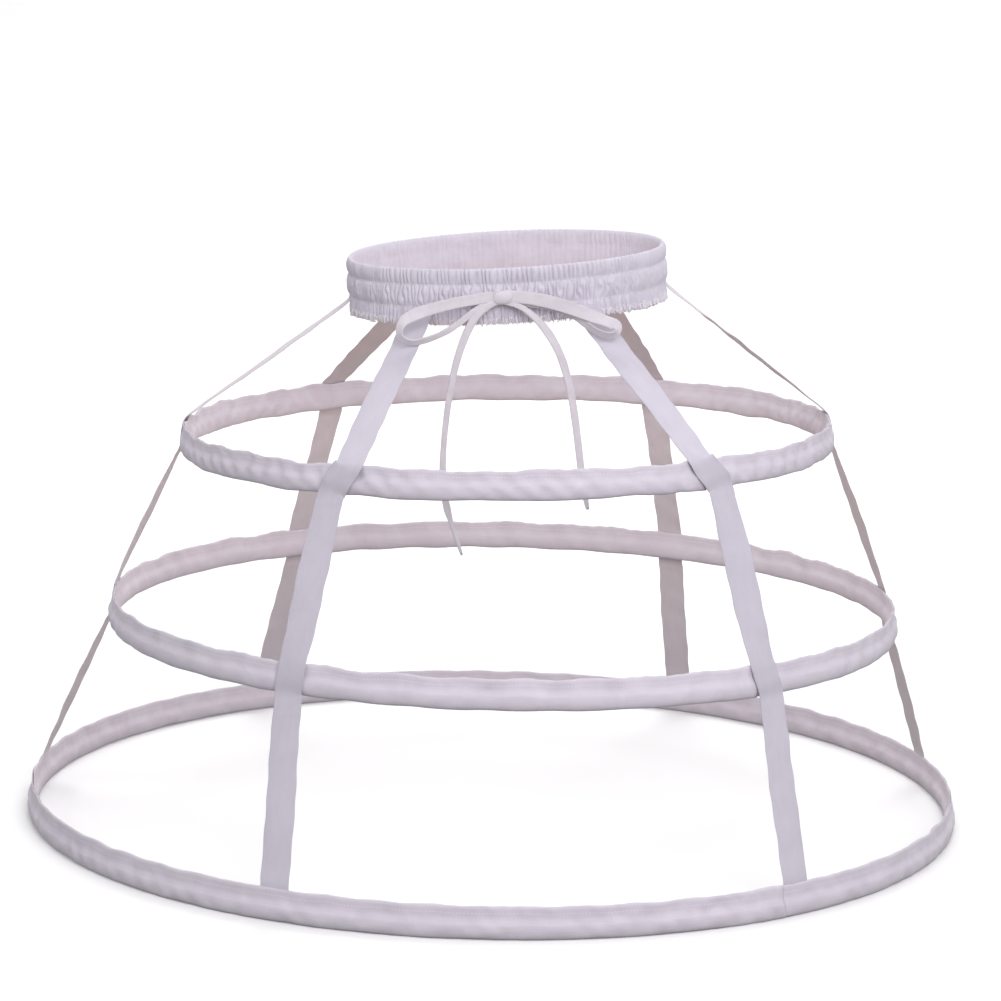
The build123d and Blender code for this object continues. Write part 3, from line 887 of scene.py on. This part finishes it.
def make_strap(name, seed, twist):
    """One tape with a folded edge, creases and a slight twist between its sewn places."""
    stations = strap_stations(name)
    line, across, steps, knots = strap_line(stations)
    tangent = unit(np.gradient(line, axis=0))
    face = unit(np.cross(across, tangent))
    across = np.cross(tangent, face)
    # free is 0 where the tape is sewn and grows to 1 well away from there
    held = knots[[in_band, below_band, top_on + 1, top_on + 2, middle_on + 1, middle_on + 2, -1]]
    free = np.clip(np.min(np.abs(steps[:, None] - held[None]), 1) / free_reach, 0, 1)
    for first, last in ((top_on, top_off), (middle_on, middle_off), (in_band, below_band)):
        free = np.where((steps >= knots[first]) & (steps <= knots[last]), 0.0, free)
    rng = np.random.default_rng(seed)
    spans = [(knots[below_band], knots[top_on]), (knots[top_off], knots[middle_on]),
             (knots[middle_off], knots[bottom_on])]
    turn_by = np.zeros(len(steps))
    bow_out = np.zeros(len(steps))
    for (low, high), degrees_of_twist in zip(spans, twist):
        share = np.clip((steps - low) / (high - low), 0, 1)
        turn_by += np.sin(share * pi) ** 1.3 * radians(degrees_of_twist)
        bow_out += np.sin(share * pi) * rng.uniform(-0.9, 0.4) * mm
    face, across = (
        face * np.cos(turn_by)[:, None] + across * np.sin(turn_by)[:, None],
        across * np.cos(turn_by)[:, None] - face * np.sin(turn_by)[:, None],
    )
    turn = round_turns(30)
    flat, proud = squared(np.cos(turn), 0.45), squared(np.sin(turn), 0.5)
    t, u = steps[:, None], flat[None]
    crease = sum(
        np.cos(t * rng.uniform(60, 300) + u * rng.normal() * 2.2 + rng.uniform(0, 6))
        for _ in range(8)
    ) / 2
    # small tucks just below each crossing
    below = np.zeros(len(steps))
    for low, _ in spans[1:]:
        below += np.clip(1 - np.abs(steps - low - tuck_place) / tuck_reach, 0, 1)
    tucks = np.cos(t * 2 * pi / tuck_pitch + 1.4 * u) * below[:, None]
    edge = np.clip(np.abs(u) * 12 - 9.6, 0, 1)
    wander = np.cos(t * rng.uniform(30, 60) + rng.uniform(0, 6)) * 0.35 * mm
    wide = (strap_width / 2) * u + wander * free[:, None] + 0.25 * mm * np.cos(t * 240 + u) * u
    lift = (
        proud[None] * (strap_thickness / 2) * (1 + 0.35 * edge)
        + crease * 0.16 * mm * (0.25 + free[:, None])
        + tucks * 0.2 * mm
        + free[:, None] * 0.5 * mm * (u**2 - 0.3)
        + bow_out[:, None]
    )
    points = line[:, None] + across[:, None] * wide[..., None] + face[:, None] * lift[..., None]
    strap = capped_piece(f"{name}_tape", points, line, steps, 2 * strap_width, 0.97)
    # front tapes take the darker colour, a painted shade; side and back tapes the paler one, a
    # painted light
    tape = strap_tape if "_front_" in name else far_tape_painted_light
    finish_piece(strap, tape, "strap_tape", name)
    return strap, steps[-1], (line, across, face, steps, knots)


twists = {
    "strap_front_left": (-4, -14, -3), "strap_front_right": (3, 18, 3),
    "strap_side_left": (-3, 7, 8), "strap_side_right": (-9, -7, -5),
    "strap_back_left": (6, -5, 5), "strap_back_right": (-5, 6, -4),
}
strap_rows = {}
for number, name in enumerate(straps):
    strap, length, rows = make_strap(name, 70 + number, twists[name])
    strap_rows[name] = rows
    print(strap.name, "length", round(float(length), 3))

# %% [markdown]
# ## Waistband
# The band is a tube of cotton about twice as long as the waist, gathered onto an elastic in its
# top channel. Two rows of stitches divide it into the elastic's channel, a fuller one for the
# drawstring, and a short ruffle with a ragged overlocked edge. Gathers are modelled, not bumped:
# about 240 sharp valleys go round, and each channel swells out between its stitches.

# %% Pleats
pleat_depth = 2.9 * mm
opening_half_width, opening_low, opening_high = 6.2 * mm, 16.4 * mm, 24.2 * mm


def pleat_waves(turns, heights, seed, count, wander):
    """Rounded ridges with sharp valleys, each valley with its own depth, 1 on a ridge."""
    rng = np.random.default_rng(seed)
    drift = ripple(turns, heights, seed + 1, 9, 70, 12, 0.4) * 0.4
    lean = ripple(turns, heights, seed + 2, 20, 120, 8, 2.2) * wander
    phase = turns * count / 2 + drift + lean
    ridge = np.abs(np.cos(phase + pi / 2)) ** 0.6
    depth = rng.uniform(0.65, 1.25, count)[np.rint(phase / pi).astype(int) % count]
    return 1 - (1 - ridge) * depth


def make_waistband():
    """The gathered band, outside and inside, as one mesh."""
    around = 2200
    turns = (np.arange(around) / around) * 2 * pi - pi
    # equal steps round the oval rather than equal turns
    middle, _ = waist_frame(turns)
    lengths = along_lengths(middle, ring=True)
    turns = np.interp(np.linspace(0, lengths[-1], around + 1)[:-1], lengths,
                      np.concatenate([turns, [pi]]))
    middle, out = waist_frame(turns)
    rows = np.concatenate([
        np.linspace(0.0, lower_stitch, 9), np.linspace(lower_stitch, upper_stitch, 13)[1:],
        np.linspace(upper_stitch, band_height, 11)[1:],
    ])
    shape = np.interp(rows / mm,
        [0, 2, 6, 10.5, 12.5, 14.5, 18, 23.5, 27, 29, 31, 34, 37.5, 40, 41],
        [1.7, 1.6, 1.5, 1.35, 1.1, 1.7, 2.3, 2.3, 1.8, 1.15, 1.6, 2.05, 1.9, 1.3, 0.5]) * mm
    full = np.interp(rows / mm,
        [0, 4, 10.5, 12.5, 14.5, 18, 24, 27, 29, 31, 36, 39, 41],
        [1.15, 1.0, 0.75, 0.45, 0.8, 1.0, 1.0, 0.8, 0.42, 0.85, 0.95, 0.7, 0.4])
    t, h = turns[:, None], rows[None] / mm
    lower = pleat_waves(t, h * 0.10, 101, 240, 0.45)
    mid = pleat_waves(t, h * 0.12, 201, 244, 0.55)
    upper = pleat_waves(t, h * 0.08, 301, 236, 0.25)
    mix_low = np.clip((h - 11.5) / 2, 0, 1)
    mix_high = np.clip((h - 28) / 2, 0, 1)
    pleats = (lower * (1 - mix_low) + mid * mix_low) * (1 - mix_high) + upper * mix_high
    # smoother where the band is pulled flatter, towards the front right
    strength = 1.0 - 0.5 * near(turns, radians(62), radians(48))[:, None]
    strength = strength * (0.95 + 0.1 * ripple(t, h * 0, 411, 2, 9, 5))
    depth = pleat_depth * full[None] * strength
    broad = ripple(t, h * 0.08, 431, 12, 60, 9, 1.5) * 0.28 * mm * full[None]
    ruffle = np.clip(1 - h / 11, 0, 1) * ripple(t, h * 0.1, 441, 60, 150, 12, 0.6) * 0.75 * mm
    # the cloth never sinks into the elastic and the tape that it covers
    core = np.interp(rows / mm, [0, 12, 16, 25, 29, 32, 41],
                     [0.5, 0.7, 1.1, 1.1, 0.7, 0.8, 0.6]) * mm
    off = np.maximum(
        shape[None] + 1.0 * mm * full[None] - (1 - pleats) * depth + broad + ruffle, core[None])
    # each tape presses the ruffle flat
    for waist_turn, *_ in straps.values():
        away = np.abs((turns - radians(waist_turn) + pi) % (2 * pi) - pi)
        at_tape, _ = waist_frame(np.array([radians(waist_turn)]))
        apart = np.linalg.norm(middle - at_tape, axis=1)
        cover = np.where(away < pi / 3, np.clip((13 * mm - apart) / (1.5 * mm), 0, 1), 0)[:, None]
        cover = cover * np.clip(9 - h, 0, 1)
        off = off * (1 - cover) + np.minimum(off, 1.9 * mm) * cover
    lift = (
        np.clip(1 - h / 5, 0, 1) * ripple(t, h * 0, 451, 90, 300, 12) * 0.42 * mm
        + np.clip((h - 37) / 4, 0, 1) * ripple(t, h * 0, 461, 60, 280, 10) * 0.16 * mm
    )
    outer = (
        middle[:, None] + out[:, None] * off[..., None]
        + waist_z * (rows[None] + lift)[..., None]
    )
    inner_rows = np.array([40.6, 38, 34, 31, 29, 26, 21, 16, 12.5, 8, 4, 1]) * mm
    inner_shape = np.interp(inner_rows / mm, [0, 8, 12.5, 16, 26, 29, 33, 38, 41],
                            [0.6, 0.8, 0.9, 1.8, 1.8, 1.0, 1.7, 1.7, 0.4]) * mm
    inner_pleats = pleat_waves(t, inner_rows[None] / mm * 0.1, 501, 186, 0.3)
    inside = inner_shape[None] + (inner_pleats - 0.75) * 0.7 * mm - ruffle[:, :1] * np.clip(
        1 - inner_rows[None] / (11 * mm), 0, 1)
    inner = (
        middle[:, None] - out[:, None] * inside[..., None]
        + waist_z * (inner_rows[None] + lift[:, :1] * (inner_rows[None] < 5 * mm))[..., None]
    )
    points = np.concatenate([outer, inner], 1)
    cut_length = along_lengths(outer[:, 6], ring=True)[-1]
    across = np.abs((turns + pi) % (2 * pi) - pi) * front_radius

    def keep(i, j):
        """False inside the opening that the two ends of the drawstring leave by."""
        high = rows[np.minimum(j, len(rows) - 1)]
        inside_gap = (
            (across[i] < opening_half_width) & (high > opening_low) & (high < opening_high))
        return ~(inside_gap & (j < len(rows) - 1))

    lengths = np.linspace(0, lengths[-1], around + 1)
    heights = np.concatenate([rows, inner_rows])
    widths = np.concatenate([[0], np.cumsum(np.abs(np.diff(heights)))])
    band = grid_piece("waistband_cloth", points, True, False, (lengths, widths), keep)
    finish_piece(band, band_cloth, "band_cloth", "waistband")
    print("gathered length", round(float(cut_length), 3), "cut width", round(float(widths[-1]), 4))
    return band, (turns, rows, outer, out, lengths)


band, band_rows = make_waistband()
print(band.name, len(band.data.polygons), "faces, round", round(float(band_rows[4][-1]), 3))

# %% [markdown]
# ## Sewing thread
# Stitches hold the whole cage together, and up close they are the first thing that tells cloth
# from plastic. Each stitch is a short rounded bar of thread, sunk by half into the cloth.

# %% Stitches
band_stitch, casing_stitch, tape_stitch = 1.9 * mm, 1.9 * mm, 1.6 * mm
thick_thread, thin_thread = 0.5 * mm, 0.42 * mm


def stitch_rows(name, rows, length, thick, material=sewing_thread, slot="casing_cloth"):
    """One mesh of short thread bars. Each row is (points, outward ways) along its line."""
    around = 6
    sides = round_turns(around)
    reach = np.array([-1.0, -0.72, 0.0, 0.72, 1.0])
    girth = np.array([0.25, 0.85, 1.0, 0.85, 0.25])
    corners = len(reach) * around
    bars = []
    for middles, along, out in rows:
        side = np.cross(along, out)
        local = (
            reach[None, :, None, None] * along[:, None, None] * length / 2
            + girth[None, :, None, None] * thick / 2 * (
                np.cos(sides)[None, None, :, None] * side[:, None, None]
                + np.sin(sides)[None, None, :, None] * out[:, None, None])
            - (np.abs(reach) ** 2 * thick * 0.5)[None, :, None, None] * out[:, None, None]
        )
        bars.append(middles[:, None, None] + local)
    bars = np.concatenate(bars)
    count = len(bars)
    mesh = bpy.data.meshes.new(name)
    i, j = np.meshgrid(np.arange(len(reach) - 1) * around, np.arange(around), indexing="ij")
    after = (j + 1) % around
    quad = np.stack([i + j, i + after, i + around + after, i + around + j], -1)
    first_corners = (np.arange(count) * corners)[:, None, None]
    quads = (quad.reshape(1, -1, 4) + first_corners).reshape(-1, 4)
    ends = np.array([np.arange(around)[::-1], np.arange(corners - around, corners)])
    caps = (ends[None] + first_corners).reshape(-1, around)
    mesh.from_pydata(bars.reshape(-1, 3).tolist(), [], quads.tolist() + caps.tolist())
    mesh.polygons.foreach_set("use_smooth", np.ones(len(mesh.polygons), bool))
    piece = bpy.data.objects.new(name, mesh)
    bpy.context.scene.collection.objects.link(piece)
    finish_piece(piece, material, slot)
    return count


def spaced_row(points, ways, pitch, ring=False):
    """Middles, directions and outward ways of stitches at even steps along a line of points."""
    line = np.concatenate([points, points[:1]]) if ring else points
    outs = np.concatenate([ways, ways[:1]]) if ring else ways
    lengths = along_lengths(line)
    count = max(2, int(lengths[-1] / pitch))
    steps = (np.arange(count) + 0.5) * lengths[-1] / count
    middles, out = spread(steps, lengths, line), unit(spread(steps, lengths, outs))
    along = unit(spread(steps + 0.4 * mm, lengths, line) - middles)
    out = unit(out - along * (out * along).sum(1, keepdims=True))
    return middles, along, out


turns, rows, outer, out, _ = band_rows
waist_stitches = []
for height in (lower_stitch, upper_stitch):
    row = int(np.argmin(np.abs(rows - height)))
    kernel = np.ones(5) / 5
    smooth = np.stack([
        np.convolve(np.concatenate([outer[-2:, row, k], outer[:, row, k], outer[:2, row, k]]),
                    kernel, "valid") for k in range(3)], 1)
    waist_stitches.append(spaced_row(smooth, out, 2.5 * mm, ring=True))
print("waist stitches", stitch_rows(
    "waistband_stitches", waist_stitches, band_stitch, thick_thread, slot="band_cloth"))

# %% Seams along the casings and across the tapes
for name, hoop in hoops.items():
    off, z = hoop["profile"]
    turned_in = 3  # the first and last points of the outline, inside the seam
    seam_index = turned_in + int(np.argmin(np.abs(
        z[turned_in : len(z) // 2] - (z.max() - 4.2 * mm))))
    inner_index = len(z) - 1 - seam_index
    ring_turns = np.linspace(0, 2 * pi, int(2 * pi * hoop["radius"] / (2.4 * mm)), endpoint=False)
    outs = np.sin(ring_turns)[:, None] * hoop["x"] - np.cos(ring_turns)[:, None] * hoop["y"]
    seam_rows = []
    for index, way in ((seam_index, 1.0), (inner_index, -1.0)):
        seam_line = hoop["surface"](ring_turns, index)
        seam_rows.append(spaced_row(seam_line, outs * way, 2.6 * mm, ring=True))
    start, stop = lap_turns(name)
    for turn in (start + 2.5 * mm / hoop["radius"], stop - 2.5 * mm / hoop["radius"]):
        picks = np.arange(turned_in + 1, len(z) // 2)
        upright = np.array([hoop["surface"](turn, k) for k in picks])
        way = sin(turn) * hoop["x"] - cos(turn) * hoop["y"]
        lift = (way * 0.15 * mm)[None]
        ways = np.repeat(way[None], len(upright), 0)
        seam_rows.append(spaced_row(upright + lift, ways, 2.4 * mm))
    print(name, "seam stitches", stitch_rows(
        f"{name}_casing_stitches", seam_rows, casing_stitch, thin_thread))

tape_rows = []
for name, (line, across, face, steps, knots) in strap_rows.items():
    for at in (knots[below_band] - 4.5 * mm, knots[top_on] + 1.6 * mm, knots[top_off] - 1.4 * mm,
               knots[middle_on] + 1.6 * mm, knots[middle_off] - 1.4 * mm):
        k = int(np.argmin(np.abs(steps - at)))
        spread_out = np.linspace(-0.44, 0.44, 9)[:, None] * strap_width
        points = line[k] + across[k] * spread_out + face[k] * 0.5 * mm
        tape_rows.append(spaced_row(points, np.repeat(face[k][None], 9, 0), 2.2 * mm))
print("tape stitches", stitch_rows(
    "tape_stitches", tape_rows, tape_stitch, thin_thread, slot="strap_tape"))

# %% [markdown]
# ## Overlocked edge
# The ruffle's raw edge is bound by an overlocker: one thread loops over the edge again and
# again. Here a single thin tube winds round the edge in a long helix, and its loops wander a
# little so that the edge looks ragged.

# %% Overlock thread
def make_overlock(rows, outer, out):
    """A thread that climbs the outside of the ruffle and drops over its edge, again and again."""
    loops, sides, thread_radius = 420, 5, 0.34 * mm
    # one loop: heights above the edge, distances out from the cloth, and shares of its pitch
    climb = np.array([0.15, 1.6, 3.2, 4.4, 4.5, 3.3, 1.7, 0.2, -0.7, -0.9, -0.8, -0.6]) * mm
    proud = np.array([0.3, 0.25, 0.25, 0.25, 0.25, 0.25, 0.25, 0.3, -0.1, -1.3, -1.9, -1.2]) * mm
    step = np.array([0.0, 0.1, 0.25, 0.42, 0.52, 0.62, 0.75, 0.86, 0.92, 0.95, 0.98, 0.99])
    rng = np.random.default_rng(77)
    reach = rng.uniform(0.7, 1.15, (loops, 1))
    shift = rng.uniform(-0.12, 0.12, (loops, 1))
    share = ((np.arange(loops)[:, None] + step + shift * np.sin(step * pi)) / loops).reshape(-1)
    climb = (climb * reach).reshape(-1)
    proud = np.broadcast_to(proud, (loops, len(step))).reshape(-1)
    ring = np.concatenate([outer, outer[:1]])
    ways = np.concatenate([out, out[:1]])
    at = share * (len(ring) - 1)
    low = np.clip(at.astype(int), 0, len(ring) - 2)
    part = (at - low)[:, None]
    along = lambda values: values[low] * (1 - part) + values[low + 1] * part
    height = np.clip(climb, 0, None)
    row = np.clip(height / (rows[1] - rows[0]), 0, len(rows) - 2)
    below = row.astype(int)
    over = (row - below)[:, None]
    lower_point = np.zeros((len(share), 3))
    for number in range(int(below.max()) + 2):
        weight = np.where(below == number, 1 - over[:, 0], 0) + np.where(
            below + 1 == number, over[:, 0], 0)
        lower_point = lower_point + along(ring[:, number]) * weight[:, None]
    way = unit(along(ways))
    line = lower_point + way * proud[:, None] + waist_z * np.minimum(climb, 0)[:, None]
    tangent = unit(np.roll(line, -1, 0) - np.roll(line, 1, 0))
    side = unit(np.cross(tangent, way + 0.3 * waist_z))
    other = np.cross(tangent, side)
    local = round_turns(sides)[None, :, None]
    points = line[:, None] + thread_radius * (
        np.cos(local) * side[:, None] + np.sin(local) * other[:, None])
    piece = grid_piece("overlock_thread", points, True, True)
    return finish_piece(piece, sewing_thread, "band_cloth")


overlock = make_overlock(rows, outer, out)
print(overlock.name, len(overlock.data.polygons), "faces")

# %% [markdown]
# ## Pieces that stay hidden in the cloth
# The bones, their clips, the elastic and the run of the drawstring keep the frame's own solids.
# They lie inside the cloth, but each still has its real finish: white coated spring steel,
# pressed steel, and woven elastic.

# %% Finishes of the hidden pieces
bone_coat = plain_material("bone_coating", (0.72, 0.72, 0.74, 1), 0.35, 0.004, 0.00003)
clip_steel = plain_material("clip_steel", (0.42, 0.42, 0.44, 1), 0.38, 0.002, 0.00002, 1.0)
elastic_weave = plain_material("elastic_weave", (0.76, 0.74, 0.74, 1), 0.8, 0.0012, 0.0002)
string_inside = plain_material("drawstring_inside", (0.76, 0.735, 0.80, 1), 0.85, 0.001, 0.0001)
hidden_finishes = {"waist_elastic": (elastic_weave, "elastic"),
                   "drawstring_in_band": (string_inside, "drawstring")}
for name in hoops:
    hidden_finishes[f"{name}_hoop_bone"] = (bone_coat, "bone")
    hidden_finishes[f"{name}_hoop_clip"] = (clip_steel, "clip")
for name, (material, slot) in hidden_finishes.items():
    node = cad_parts[name]
    node.data.materials.clear()
    node.data.materials.append(material)
print("hidden pieces", len(hidden_finishes))
